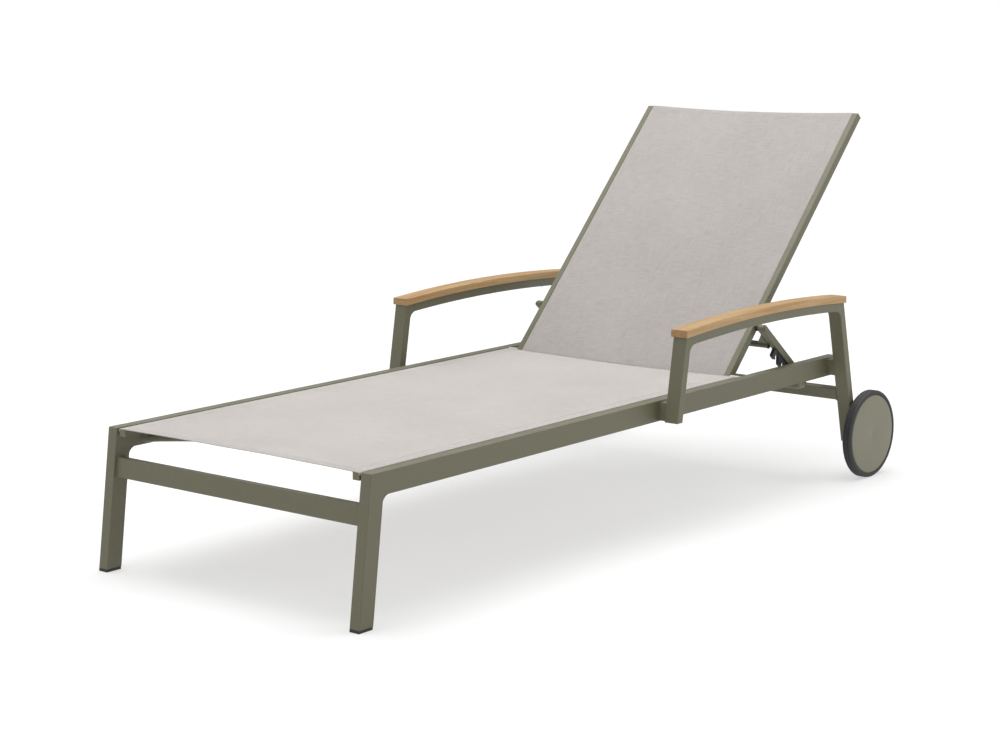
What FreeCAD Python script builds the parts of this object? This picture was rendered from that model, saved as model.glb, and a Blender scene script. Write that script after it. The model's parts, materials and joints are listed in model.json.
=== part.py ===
"""Reclining sun lounger: welded aluminium frame, woven slings, teak arm caps, two wheels.

Millimetres, +Z up, ground at z = 0. +X runs towards the head end and the lounger is
symmetric about y = 0; "left" is the -Y side, the user's left when lying on it.
While a piece is made, x is counted from the foot end of the side rails; save() then
moves everything so that the origin is the middle of the whole thing's box.
"""
import FreeCAD, Part
import math
import os

V = FreeCAD.Vector

# ---- driving dimensions -------------------------------------------------------------
# side frames
RAIL_HALF = 346.0          # middle of the lounger to the outer face of a side rail
RAIL_WIDTH = 24.0
RAIL_HEIGHT = 43.0
RAIL_TOP = 280.0           # height of the rails' top faces
RAIL_LENGTH = 1556.0
WALL = 2.0                 # wall of every aluminium tube
EDGE = 1.5                 # rounding of the tubes' long edges
LEG_DEPTH = 36.0           # front leg along X
LEG_LEAN = 7.9             # degrees, foot forwards
LEG_FILLET = 10.0
GLIDE_HEIGHT = 6.0
GLIDE_PLUG = 22.0
GLIDE_INSET = 0.5          # glide's pad inside the leg's outline
# front cross rail
FRONT_RAIL_HEIGHT = 39.0
FRONT_RAIL_DEPTH = 20.0
FRONT_RAIL_DROP = 57.0     # from the rails' top down to its upper edge
FRONT_RAIL_SETBACK = 7.0
# seat
TRACK_WIDTH = 16.0
TRACK_HEIGHT = 14.0
TRACK_GAP = 6.0            # between a side rail and the sling track beside it
TRACK_DROP = 1.6           # track top below the rail top
TRACK_START = 1.5          # track behind the rails' foot end
TRACK_END_GAP = 12.0       # from the track's head end to the hinge pin
KEDER = 5.0                # rod that holds a sling's edge in its track
KEDER_BORE = 5.6
KEDER_COVER = 1.5          # track over the keder's bore
TRACK_END_WALL = 3.0       # the bore stops this far from the foot end
KEDER_SHORT = 2.0          # edge rod inside its track's ends
TRACK_SCREW = 4.0
TRACK_SCREW_HEAD = 7.6
TRACK_HEAD_THICK = 2.4
TRACK_SCREW_TIP = 4.0      # past the rail's wall
TRACK_SCREW_UP = 4.0       # above the track's underside
TRACK_SCREWS = [60.0, 330.0, 600.0, 870.0, 1140.0]
TRACK_WASHER = 7.6
SLING = 1.2
SLING_INSET = 0.5          # seat sling inside the tracks' outer edges and foot ends
SLING_HOLLOW = 26.0        # how far a free end of the seat sling curves in
BAR = 22.0                 # round spreader bars between the rails
BOW_TUBE = 16.0
BOW_X = 70.0
BOW_DEPTH = 135.0
BAR_DROP = 31.0            # bar centre below the rails' top
MIDDLE_BAR_X = 640.0
HINGE_BAR_SETBACK = 55.0
# backrest
HINGE_X = 1200.0
HINGE_DROP = 9.0           # hinge pin below the rails' top
RECLINE = 46.0             # degrees above flat in the top notch
BACK_GAP = 6.0             # between a backrest rail and the bail arm outside it
BACK_RAIL_WIDTH = 28.0
BACK_RAIL_DEPTH = 18.0
BACK_LENGTH = 750.0
BACK_TAIL = 12.0           # rail beyond the hinge pin
SLING_STRIP = 14.0         # bare rail face outside the back sling
REBATE = 1.6
SLING_TAIL = 6.0           # back sling below the hinge pin
BACK_KEDER_START = 12.0    # above the hinge pin
BACK_KEDER_IN = 1.0        # inside the middle of the bare strip
BACK_KEDER_COVER = 0.8
BACK_HOLLOW = 5.0
BACK_BAR_DEPTH = 12.0
BACK_BAR_HEIGHT = 25.0
CAP_LIP = 2.0
CAP_PLUG = 12.0
CAP_TAIL_PLUG = 5.0
BACK_BARS = {"lower": 91.0, "middle": 500.0, "top": 722.0}
HINGE_BOLT = 10.0
HINGE_HEAD = 13.0
HINGE_HEAD_THICK = 5.0
HINGE_TIP = 2.0            # past its nut
HINGE_BUSH = 17.0
HINGE_NUT = 13.0
HINGE_NUT_THICK = 7.0
# support bail under the backrest
PIVOT_UP = 142.0           # bail pivot along the backrest from the hinge pin
PIVOT_BACK = 4.0           # and behind the rail's middle
PIVOT_BOLT = 6.0
PIVOT_DEEP = 12.0          # thread in the rail's solid strip
PIVOT_HEAD = 11.0
PIVOT_HEAD_THICK = 2.8
PIVOT_WASHER = 14.0
BAIL_ARM = 16.0
BAIL_GAP = 4.0             # between a side rail and the bail arm inside it
BAIL_LENGTH = 246.0        # pivot to the middle of the lower bar
BAIL_BEND = 30.0
BAIL_SLOPE = 39.8          # degrees below level with the backrest in the top notch
UPPER_BAR = 14.0
UPPER_BAR_AT = 58.0
UPPER_BAR_DROP = 8.0       # below the arms' middle, to stay off the backrest when flat
GUSSET_RUN = 42.0          # corner plates of the upper bar: along the arm, along the bar
GUSSET_REACH = 30.0
GUSSET_THICK = 3.0
RACK_WIDTH = 8.0
RACK_DEPTH = 19.5          # tooth tips below the arm's underside
RACK_START = 70.0
RACK_END = 200.0
RACK_CHAMFER = 6.0         # at the rack's lower end
RACK_EASE = 2.0            # at its upper end
RACK_NOTCHES = 3
NOTCH_OVER = 3.0           # plastic left over a notch
NOTCH_PLAY = 0.75          # radial, catch pin in a notch
RACK_SCREW = 4.0
RACK_SCREW_DEEP = 6.0
RACK_HEAD = 7.2
RACK_HEAD_THICK = 1.6
RACK_SCREW_IN = 6.5        # from the rack's ends
NOTCH_PITCH = 33.0
LAST_NOTCH = 154.4
# fixed pins inside the side rails that the racks drop over
CATCH_PIN = 14.0
CATCH_PLAY = 1.5           # pin's end to the plane of the arms' inner faces
CATCH_X = 194.0            # behind the hinge pin
CATCH_DROP = 26.0          # below the hinge pin
# bumpers under the backrest rails, on the side rails
FLAT_STOP_X = 50.0         # behind the hinge pin
FLAT_STOP_LENGTH = 22.0
FLAT_STOP_THICK = 14.0
# arm frames, set outboard of the rails on spacers
ARM_GAP = 18.0
ARM_WIDTH = 32.0
ARM_DEPTH = 19.0
POST_X = 887.0             # front edge of the front post at its top
POST_LEAN = 10.0
ARM_TOP = 411.0            # metal top at both ends of the arm
ARM_END_X = 1502.0         # rear edge of the rear leg at its top
ARM_RISE = 12.0            # how far the arm bows up in the middle
REAR_LEAN = 12.3
ARM_FILLET = 20.0
CORNER_RUN = 46.0          # arm bar that belongs to each corner
DRAIN = 5.0
POST_BELOW = 1.0           # post end above the rail's underside
ARM_BOLT = 6.0
BOLT_HEAD = 9.0
BOLT_HEAD_THICK = 3.0      # less than BAIL_GAP: the bail passes beside it
BOLT_TIP = 5.0             # past the post's wall
BOLT_UP = 8.0              # lower bolt above the rail's underside
BOLT_APART = 10.5
SPACER_DEPTH = 15.0
SPACER_HEIGHT = 36.0
SPACER_UP = 3.0            # above the rail's underside
TEAK_WIDTH = 40.0
TEAK_THICK = 15.5
TEAK_OVER = 3.0            # teak past the metal at both ends
TEAK_EDGE = 2.0
TEAK_SCREW = 5.0
TEAK_SCREW_HEAD = 9.0
TEAK_HEAD_THICK = 2.6
TEAK_LEFT = 4.0            # wood left over a screw's tip
TEAK_SCREWS = [0.12, 0.5, 0.88]      # shares of the way along the arm bar
# rear cross rail, between the rear legs
REAR_RAIL_HEIGHT = 26.0
REAR_RAIL_LOW = 182.0
# wheels
WHEEL_R = 100.0
WHEEL_WIDTH = 22.0
WHEEL_GAP = 4.0            # leg face to the tyre
TYRE_THICK = 10.0
TYRE_SHOULDER = 4.0
RIM_THICK = 6.0
RIM_INSET = 1.5            # rim inside the tyre's inner face
WEB_AT = 8.0               # web from the tyre's inner face
WEB_THICK = 4.0
DISC_THICK = 2.5
DISC_INSET = 0.5           # disc inside the rim's radius
CLIP_DEPTH = 5.5           # ring behind the disc, pressed into the rim
CLIP_WALL = 2.7
HUB_GAP = 3.0              # leg face to the hub
HUB_INSET = 8.0            # hub end inside the disc's face
BUSH_WALL = 2.0
AXLE = 12.0
AXLE_HEAD = 18.0
AXLE_HEAD_THICK = 4.0
AXLE_TIP = 3.2             # past the hub
AXLE_RING = 19.2
AXLE_RING_THICK = 2.0
AXLE_BELOW = 16.0          # leg end below the axle
WHEEL_BACK = 36.0          # axle behind the rear leg's middle line
LUG_INSET = 5.0            # axle lug inside the leg's inner face
HUB_R = 14.0
# fits
SHAFT_GAP = 0.05           # radial, a shaft in the hole that it turns in
HOLE_GAP = 0.02            # radial, a fixed shaft in its hole
SLIP = 0.3                 # between faces that move past each other
HOLE_END = 0.5             # a blind hole past the tip of its screw
SEAT = 0.1                 # between soft or plastic pieces and the metal that holds them

# ---- worked out ----------------------------------------------------------------------
RAIL_IN = RAIL_HALF - RAIL_WIDTH
RAIL_BOTTOM = RAIL_TOP - RAIL_HEIGHT
TRACK_OUT = RAIL_IN - TRACK_GAP
TRACK_IN = TRACK_OUT - TRACK_WIDTH
TRACK_TOP = RAIL_TOP - TRACK_DROP
HINGE_Z = RAIL_TOP - HINGE_DROP
BAIL_OUT = RAIL_IN - BAIL_GAP
BAIL_IN = BAIL_OUT - BAIL_ARM
BAIL_MID = BAIL_OUT - BAIL_ARM / 2
BACK_HALF = BAIL_IN - BACK_GAP
BACK_IN = BACK_HALF - BACK_RAIL_WIDTH
ARM_IN = RAIL_HALF + ARM_GAP
ARM_OUT = ARM_IN + ARM_WIDTH
BAR_Z = RAIL_TOP - BAR_DROP
CATCH = V(HINGE_X + CATCH_X, 0, HINGE_Z - CATCH_DROP)
HINGE = V(HINGE_X, 0, HINGE_Z)
UP = V(0, -1, 0)           # turning about this raises +X towards +Z
KEDER_Y = (TRACK_IN + TRACK_OUT) / 2
KEDER_Z = TRACK_TOP - KEDER_COVER - KEDER_BORE / 2
TRACK_SCREW_Z = TRACK_TOP - TRACK_HEIGHT + TRACK_SCREW_UP
BACK_STEP = BACK_HALF - SLING_STRIP
BACK_KEDER_Y = BACK_STEP + SLING_STRIP / 2 - BACK_KEDER_IN
BACK_KEDER_Z = BACK_RAIL_DEPTH / 2 - REBATE - BACK_KEDER_COVER - KEDER_BORE / 2
BOLT_LOW = RAIL_BOTTOM + BOLT_UP
BOLT_HIGH = BOLT_LOW + BOLT_APART
RACK_SCREWS = [RACK_START + RACK_SCREW_IN, RACK_END - RACK_SCREW_IN]
TYRE_IN = ARM_OUT + WHEEL_GAP
TYRE_OUT = TYRE_IN + WHEEL_WIDTH
RIM_R = WHEEL_R - TYRE_THICK
HUB_IN = ARM_OUT + HUB_GAP
HUB_OUT = TYRE_OUT - HUB_INSET
BUSH_R = AXLE / 2 + SHAFT_GAP + BUSH_WALL


def leaning(angle):
    """Unit vector of a post that leans by angle from upright, top towards +X."""
    return V(math.sin(math.radians(angle)), 0, math.cos(math.radians(angle)))


LEG_DIR = leaning(LEG_LEAN)
POST_DIR = leaning(POST_LEAN)
REAR_DIR = leaning(-REAR_LEAN)


def at_height(start, direction, z):
    return start + direction * ((z - start.z) / direction.z)


# ---- shape helpers -------------------------------------------------------------------
def face_xz(*edges):
    """Face from points and arcs in the XZ plane; an arc is (middle, end) after a point."""
    made = []
    last = first = edges[0]
    for item in edges[1:] + (first,):
        if isinstance(item, tuple):
            made.append(Part.Arc(last, item[0], item[1]).toShape())
            last = item[1]
        elif (item - last).Length > 1e-6:
            made.append(Part.makeLine(last, item))
            last = item
    return Part.Face(Part.Wire(made))


def slab(face, low, high):
    """Face in the XZ plane pulled out from y = low to y = high."""
    moved = face.copy()
    moved.translate(V(0, low, 0))
    return moved.extrude(V(0, high - low, 0))


def tube(outline, low, high):
    """Closed tube; outline(inset) gives the face of its outside or of its hollow."""
    body = softened(slab(outline(0.0), low, high), 2 * ARM_DEPTH)
    return body.cut(slab(outline(WALL), low + WALL, high - WALL))


def softened(body, shortest):
    """Round the body's edges that are longer than shortest."""
    return body.makeFillet(EDGE, [e for e in body.Edges if e.Length > shortest])


def rod(start, end, radius):
    run = end - start
    return Part.makeCylinder(radius, run.Length, start, run)


def ring(start, end, radius, bore):
    return rod(start, end, radius).cut(rod(start, end, bore))


def along_y(x, z, low, high, radius):
    return rod(V(x, low, z), V(x, high, z), radius)


def block(x, y, z):
    """Box from three (low, high) pairs."""
    return Part.makeBox(x[1] - x[0], y[1] - y[0], z[1] - z[0], V(x[0], y[0], z[0]))


def cut(shape, *tools):
    for tool in tools:
        shape = shape.cut(tool)
    return shape


def fuse(shape, *others):
    for other in others:
        shape = shape.fuse(other)
    return shape.removeSplitter()


def mirrored(shape):
    return shape.mirror(V(0, 0, 0), V(0, 1, 0))


def both_sides(shapes):
    """The shapes and their mirror images, as one list of solids."""
    return list(shapes) + [mirrored(s) for s in shapes]


# ---- saving --------------------------------------------------------------------------
BACK_TIP = (HINGE_X + (BACK_LENGTH + CAP_LIP) * math.cos(math.radians(RECLINE))
            + BACK_RAIL_DEPTH / 2 * math.sin(math.radians(RECLINE)))
LEG_FOOT = at_height(V(GLIDE_INSET / LEG_DIR.z, 0, RAIL_TOP), LEG_DIR, 0).x
MIDDLE_X = (LEG_FOOT + BACK_TIP) / 2


def save(name, shape):
    if isinstance(shape, list):
        shape = Part.makeCompound(shape)
    shape = shape.copy()
    shape.translate(V(-MIDDLE_X, 0, 0))
    if not shape.isValid() or not shape.Solids:
        raise RuntimeError("bad shape: " + name)
    shape.exportStep("parts/" + name + ".step")


def save_pair(name, shape):
    """One piece made on the +Y side, and its twin."""
    save(name + "_right", shape)
    save(name + "_left", mirrored(shape))


def raised(shape):
    """From the flat backrest's frame (hinge pin at 0, +X up the backrest) to its place."""
    shape = shape.copy()
    shape.rotate(V(0, 0, 0), UP, RECLINE)
    shape.translate(HINGE)
    return shape


PIVOT = raised(Part.Vertex(PIVOT_UP, 0, -PIVOT_BACK)).Point


def hung(shape):
    """From the bail's frame (pivot at 0, +X down the arm) to its place."""
    shape = shape.copy()
    shape.rotate(V(0, 0, 0), UP, -BAIL_SLOPE)
    shape.translate(PIVOT)
    return shape


# ---- arm frame outline ---------------------------------------------------------------
ARM_FRONT = V(POST_X, 0, ARM_TOP)
ARM_REAR = V(ARM_END_X, 0, ARM_TOP)
ARM_HALF = (ARM_END_X - POST_X) / 2
ARM_R = (ARM_HALF ** 2 + ARM_RISE ** 2) / (2 * ARM_RISE)
ARM_C = V(POST_X + ARM_HALF, 0, ARM_TOP + ARM_RISE - ARM_R)


def on_arc(x, radius):
    """Point of the arm's bow at x, on the circle of the given radius."""
    return V(x, 0, ARM_C.z + math.sqrt(radius ** 2 - (x - ARM_C.x) ** 2))


def arc_between(x0, x1, radius):
    """(middle, end) of the bow from x0 to x1, for face_xz."""
    return (on_arc((x0 + x1) / 2, radius), on_arc(x1, radius))


def corner(outer_top, direction, side, foot_z, inset):
    """Leaning post with the bar's first run and a filleted inside corner.

    side is +1 where the arm lies towards +X of the post, -1 where it lies towards -X.
    inset draws the outline of the hollow, that much inside the metal.
    """
    square = V(direction.z, 0, -direction.x) * side
    outer = outer_top + square * inset
    inner = outer_top + square * (ARM_DEPTH - inset)
    top_r = ARM_R - inset
    low_r = ARM_R - ARM_DEPTH + inset
    fillet = ARM_FILLET + inset
    base = inner + square * fillet - ARM_C
    reach = low_r - fillet
    b = base.dot(direction)
    root = math.sqrt(b * b - (base.dot(base) - reach ** 2))
    centre = ARM_C + base + direction * (root - b)
    on_post = centre - square * fillet
    on_bar = ARM_C + (centre - ARM_C) * (low_r / reach)
    middle = (on_post - centre) + (on_bar - centre)
    middle = centre + middle * (fillet / middle.Length)
    end_x = outer_top.x + side * (CORNER_RUN - inset)
    foot_out = at_height(outer, direction, foot_z + inset)
    foot_in = at_height(inner, direction, foot_z + inset)
    top = on_arc(outer.x, top_r)
    return face_xz(foot_out, top, arc_between(top.x, end_x, top_r), on_arc(end_x, low_r),
                   arc_between(end_x, on_bar.x, low_r), (middle, on_post), foot_in)


POST_FOOT = RAIL_BOTTOM + POST_BELOW
WHEEL_Z = WHEEL_R
REAR_MID_TOP = ARM_REAR - V(REAR_DIR.z, 0, -REAR_DIR.x) * (ARM_DEPTH / 2)
WHEEL_X = at_height(REAR_MID_TOP, REAR_DIR, WHEEL_Z).x + WHEEL_BACK


# ---- side frames ---------------------------------------------------------------------
def arm_bolt_places():
    """(x, z) of the two bolts through each rail, behind the front post and rear leg."""
    places = []
    for top, direction, side in ((ARM_FRONT, POST_DIR, 1), (ARM_REAR, REAR_DIR, -1)):
        square = V(direction.z, 0, -direction.x) * side
        middle = top + square * (ARM_DEPTH / 2)
        for z in (BOLT_LOW, BOLT_HIGH):
            places.append((at_height(middle, direction, z).x, z))
    return places


def leg_edges(inset=0.0):
    """Front and rear edges of the front leg: a point on each, at the rail's top."""
    shift = inset / LEG_DIR.z
    return V(shift, 0, RAIL_TOP), V(LEG_DEPTH / LEG_DIR.z - shift, 0, RAIL_TOP)


def front_leg():
    front, rear = leg_edges()
    foot = GLIDE_HEIGHT
    turn = math.radians(90 - LEG_LEAN)
    reach = LEG_FILLET / math.tan(turn / 2)
    joint = at_height(rear, LEG_DIR, RAIL_BOTTOM)
    low = joint - LEG_DIR * reach
    high = joint + V(reach, 0, 0)
    centre = V(high.x, 0, RAIL_BOTTOM - LEG_FILLET)
    inward = (low - centre) + (high - centre)
    middle = centre + inward * (LEG_FILLET / inward.Length)
    outline = face_xz(at_height(front, LEG_DIR, foot), front, rear, joint, high, (middle, low),
                      at_height(rear, LEG_DIR, foot))
    leg = slab(outline, RAIL_IN, RAIL_HALF)
    leg = softened(leg, RAIL_BOTTOM)
    inside = leg_hollow(WALL, foot - 1.0, RAIL_TOP - WALL)
    return leg.cut(slab(inside, RAIL_IN + WALL, RAIL_HALF - WALL))


def leg_hollow(inset, low, high):
    front, rear = leg_edges(inset)
    return face_xz(at_height(front, LEG_DIR, low), at_height(front, LEG_DIR, high),
                   at_height(rear, LEG_DIR, high), at_height(rear, LEG_DIR, low))


def side_rail():
    rear = leg_edges()[1]
    outline = face_xz(rear, V(RAIL_LENGTH, 0, RAIL_TOP), V(RAIL_LENGTH, 0, RAIL_BOTTOM),
                      at_height(rear, LEG_DIR, RAIL_BOTTOM))
    rail = softened(slab(outline, RAIL_IN, RAIL_HALF), 2 * RAIL_HEIGHT)
    rail = rail.cut(block((rear.x + WALL, RAIL_LENGTH + 1), (RAIL_IN + WALL, RAIL_HALF - WALL),
                          (RAIL_BOTTOM + WALL, RAIL_TOP - WALL)))
    for x, z in arm_bolt_places():
        rail = rail.cut(along_y(x, z, RAIL_IN - 1, RAIL_HALF + 1, ARM_BOLT / 2 + SHAFT_GAP))
    for x in TRACK_SCREWS:
        rail = rail.cut(along_y(x, TRACK_SCREW_Z, RAIL_IN - 1, RAIL_IN + WALL + 1,
                                TRACK_SCREW / 2 + HOLE_GAP))
    return rail.cut(along_y(HINGE_X, HINGE_Z, RAIL_IN - 1, RAIL_IN + WALL + 1,
                            HINGE_BOLT / 2 + HOLE_GAP))


def leg_glide():
    """Plastic foot: a plug in the leg's open end with a pad under it."""
    front, rear = leg_edges(GLIDE_INSET)
    pad = face_xz(at_height(front, LEG_DIR, 0), at_height(front, LEG_DIR, GLIDE_HEIGHT),
                  at_height(rear, LEG_DIR, GLIDE_HEIGHT), at_height(rear, LEG_DIR, 0))
    inside = WALL + SEAT
    plug = leg_hollow(inside, GLIDE_HEIGHT, GLIDE_HEIGHT + GLIDE_PLUG)
    return fuse(slab(pad, RAIL_IN + GLIDE_INSET, RAIL_HALF - GLIDE_INSET),
                slab(plug, RAIL_IN + inside, RAIL_HALF - inside))


def rail_end_cap():
    lip = block((RAIL_LENGTH, RAIL_LENGTH + CAP_LIP), (RAIL_IN, RAIL_HALF),
                (RAIL_BOTTOM, RAIL_TOP))
    gap = WALL + SEAT
    plug = block((RAIL_LENGTH - CAP_PLUG, RAIL_LENGTH), (RAIL_IN + gap, RAIL_HALF - gap),
                 (RAIL_BOTTOM + gap, RAIL_TOP - gap))
    return fuse(lip, plug)


def front_cross_rail():
    top = RAIL_TOP - FRONT_RAIL_DROP
    front = at_height(V(0, 0, RAIL_TOP), LEG_DIR, top) + V(FRONT_RAIL_SETBACK, 0, 0)
    back = front + V(LEG_DIR.z, 0, -LEG_DIR.x) * FRONT_RAIL_DEPTH
    down = LEG_DIR * -FRONT_RAIL_HEIGHT
    outline = face_xz(front, back, back + down, front + down)
    return cut(softened(slab(outline, -RAIL_IN, RAIL_IN), 2 * FRONT_RAIL_HEIGHT),
               slab(outline.makeOffset2D(-WALL), -RAIL_IN - 1, RAIL_IN + 1))


def seat_track():
    """Sling track beside a rail; the bore holds the sling's edge rod."""
    body = block((TRACK_START, HINGE_X - TRACK_END_GAP), (TRACK_IN, TRACK_OUT),
                 (TRACK_TOP - TRACK_HEIGHT, TRACK_TOP))
    start = V(TRACK_START + TRACK_END_WALL, KEDER_Y, KEDER_Z)
    body = body.cut(rod(start, V(HINGE_X, KEDER_Y, KEDER_Z), KEDER_BORE / 2))
    for x in TRACK_SCREWS:
        body = body.cut(along_y(x, TRACK_SCREW_Z, TRACK_IN - 1, TRACK_OUT + 1,
                                TRACK_SCREW / 2 + HOLE_GAP))
    return body


def seat_keder():
    front = TRACK_START + TRACK_END_WALL + KEDER_SHORT
    rear = HINGE_X - TRACK_END_GAP - KEDER_SHORT
    return rod(V(front, KEDER_Y, KEDER_Z), V(rear, KEDER_Y, KEDER_Z), KEDER / 2)


def track_screws():
    """Screws through the tracks into the rails, each with a washer in the gap between."""
    made = []
    for x in TRACK_SCREWS:
        tip = RAIL_IN + WALL + TRACK_SCREW_TIP
        shank = along_y(x, TRACK_SCREW_Z, TRACK_IN, tip, TRACK_SCREW / 2)
        head = along_y(x, TRACK_SCREW_Z, TRACK_IN - TRACK_HEAD_THICK, TRACK_IN,
                       TRACK_SCREW_HEAD / 2)
        made.append(fuse(shank, head))
    return both_sides(made)


def track_washers():
    made = []
    for x in TRACK_SCREWS:
        low = V(x, TRACK_OUT, TRACK_SCREW_Z)
        made.append(ring(low, V(x, RAIL_IN, TRACK_SCREW_Z), TRACK_WASHER / 2,
                         TRACK_SCREW / 2 + HOLE_GAP))
    return both_sides(made)


def sling(free_end, far_end, half, z, hollow):
    """Flat sheet from its free end, hollowed towards its far end, to that far end."""
    deep = math.copysign(hollow, far_end - free_end)
    start = V(free_end, -half, z)
    end = V(free_end, half, z)
    edges = [Part.Arc(start, V(free_end + deep, 0, z), end).toShape(),
             Part.makeLine(end, V(far_end, half, z)),
             Part.makeLine(V(far_end, half, z), V(far_end, -half, z)),
             Part.makeLine(V(far_end, -half, z), start)]
    return Part.Face(Part.Wire(edges)).extrude(V(0, 0, SLING))


def seat_sling():
    """Sheet over both tracks, its free end at the foot end."""
    half = TRACK_OUT - SLING_INSET
    front = TRACK_START + SLING_INSET
    rear = HINGE_X - TRACK_END_GAP - KEDER_SHORT
    z = TRACK_TOP + SEAT
    return sling(front, rear, half, z, SLING_HOLLOW)


def cross_tube(x, z, half, diameter):
    """Round tube across the lounger, from y = -half to y = half."""
    return cut(along_y(x, z, -half, half, diameter / 2),
               along_y(x, z, -half - 1, half + 1, diameter / 2 - WALL))


def foot_bow():
    """Spreader bowed towards the head end, so that it clears the sleeper's heels."""
    radius = (RAIL_IN ** 2 + BOW_DEPTH ** 2) / (2 * BOW_DEPTH)
    centre = V(BOW_X + BOW_DEPTH - radius, 0, BAR_Z)
    full = Part.makeTorus(radius, BOW_TUBE / 2, centre).cut(
        Part.makeTorus(radius, BOW_TUBE / 2 - WALL, centre))
    keep = block((0, radius), (-RAIL_IN, RAIL_IN), (BAR_Z - BOW_TUBE, BAR_Z + BOW_TUBE))
    return full.common(keep)


def catch_pin():
    """Stub welded to a side rail's inner face; a rack drops over it."""
    return along_y(CATCH.x, CATCH.z, BAIL_IN + CATCH_PLAY, RAIL_IN, CATCH_PIN / 2)


def flat_stop():
    """Bumper on a side rail's inner face that a backrest rail lies on when flat."""
    top = HINGE_Z - BACK_RAIL_DEPTH / 2 - SLIP
    x = HINGE_X + FLAT_STOP_X
    return block((x - FLAT_STOP_LENGTH / 2, x + FLAT_STOP_LENGTH / 2),
                 (BACK_IN + BAIL_GAP, RAIL_IN), (top - FLAT_STOP_THICK, top))


# ---- arm frames ----------------------------------------------------------------------
def arm_bar_outline(inset):
    x0 = POST_X + CORNER_RUN + inset
    x1 = ARM_END_X - CORNER_RUN - inset
    top_r = ARM_R - inset
    low_r = ARM_R - ARM_DEPTH + inset
    return face_xz(on_arc(x0, top_r), arc_between(x0, x1, top_r), on_arc(x1, low_r),
                   arc_between(x1, x0, low_r))


def teak_screw_axis(share):
    """Foot of the screw's shank on the bar's underside, and its direction."""
    x0 = POST_X + CORNER_RUN
    x = x0 + share * (ARM_END_X - CORNER_RUN - x0)
    foot = on_arc(x, ARM_R - ARM_DEPTH) + V(0, (ARM_IN + ARM_OUT) / 2, 0)
    out = V(x - ARM_C.x, 0, foot.z - ARM_C.z)
    return foot, out * (1.0 / out.Length)


def teak_screw(share):
    foot, out = teak_screw_axis(share)
    low = foot - out * TEAK_HEAD_THICK
    head = rod(low, foot - out * SHAFT_GAP, TEAK_SCREW_HEAD / 2)
    tip = foot + out * (ARM_DEPTH + TEAK_THICK - TEAK_LEFT)
    return fuse(rod(low, tip, TEAK_SCREW / 2), head)


def screw_hole(share):
    foot, out = teak_screw_axis(share)
    tip = foot + out * (ARM_DEPTH + TEAK_THICK - TEAK_LEFT + HOLE_END)
    return rod(foot - out * WALL, tip, TEAK_SCREW / 2 + HOLE_GAP)


def arm_bar():
    holes = [screw_hole(share) for share in TEAK_SCREWS]
    return cut(tube(arm_bar_outline, ARM_IN, ARM_OUT), *holes)


def front_post():
    body = tube(lambda inset: corner(ARM_FRONT, POST_DIR, 1, POST_FOOT, inset),
                ARM_IN, ARM_OUT)
    drain = at_height(ARM_FRONT + V(ARM_DEPTH / 2, 0, 0), POST_DIR, POST_FOOT)
    drain.y = (ARM_IN + ARM_OUT) / 2
    body = body.cut(rod(drain - V(0, 0, WALL), drain + V(0, 0, 3 * WALL), DRAIN / 2))
    return cut(body, *[post_bolt_hole(x, z) for x, z in arm_bolt_places()[:2]])


def post_bolt_hole(x, z):
    return along_y(x, z, ARM_IN - 1, ARM_IN + WALL + 1, ARM_BOLT / 2 + HOLE_GAP)


def rear_leg():
    foot = WHEEL_Z - AXLE_BELOW
    body = tube(lambda inset: corner(ARM_REAR, REAR_DIR, -1, foot, inset), ARM_IN, ARM_OUT)
    return cut(body, *[post_bolt_hole(x, z) for x, z in arm_bolt_places()[2:]])


def axle_lug():
    """Solid lug welded behind a rear leg's foot; it carries the stub axle."""
    high = WHEEL_Z + AXLE_BELOW
    low = WHEEL_Z - AXLE_BELOW
    outline = face_xz(at_height(ARM_REAR, REAR_DIR, high), V(WHEEL_X, 0, high),
                      (V(WHEEL_X + AXLE_BELOW, 0, WHEEL_Z), V(WHEEL_X, 0, low)),
                      at_height(ARM_REAR, REAR_DIR, low))
    body = slab(outline, ARM_IN + LUG_INSET, ARM_OUT)
    return body.cut(along_y(WHEEL_X, WHEEL_Z, ARM_IN, ARM_OUT + 1, AXLE / 2 + HOLE_GAP))


def arm_spacer(top, direction, side):
    """Block between a rail and a post, following the post's lean."""
    square = V(direction.z, 0, -direction.x) * side
    setback = (ARM_DEPTH - SPACER_DEPTH) / 2
    near = top + square * setback
    far = near + square * SPACER_DEPTH
    low = RAIL_BOTTOM + SPACER_UP
    high = low + SPACER_HEIGHT
    outline = face_xz(at_height(near, direction, low), at_height(near, direction, high),
                      at_height(far, direction, high), at_height(far, direction, low))
    return slab(outline, RAIL_HALF, ARM_IN)


def arm_spacers():
    pieces = [arm_spacer(ARM_FRONT, POST_DIR, 1), arm_spacer(ARM_REAR, REAR_DIR, -1)]
    holes = [along_y(x, z, RAIL_HALF - 1, ARM_IN + 1, ARM_BOLT / 2 + SHAFT_GAP)
             for x, z in arm_bolt_places()]
    return both_sides([cut(piece, *holes) for piece in pieces])


def arm_bolts():
    made = []
    for x, z in arm_bolt_places():
        shank = along_y(x, z, RAIL_IN, ARM_IN + WALL + BOLT_TIP, ARM_BOLT / 2)
        head = along_y(x, z, RAIL_IN - BOLT_HEAD_THICK, RAIL_IN, BOLT_HEAD / 2)
        made.append(fuse(shank, head))
    return both_sides(made)


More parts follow.
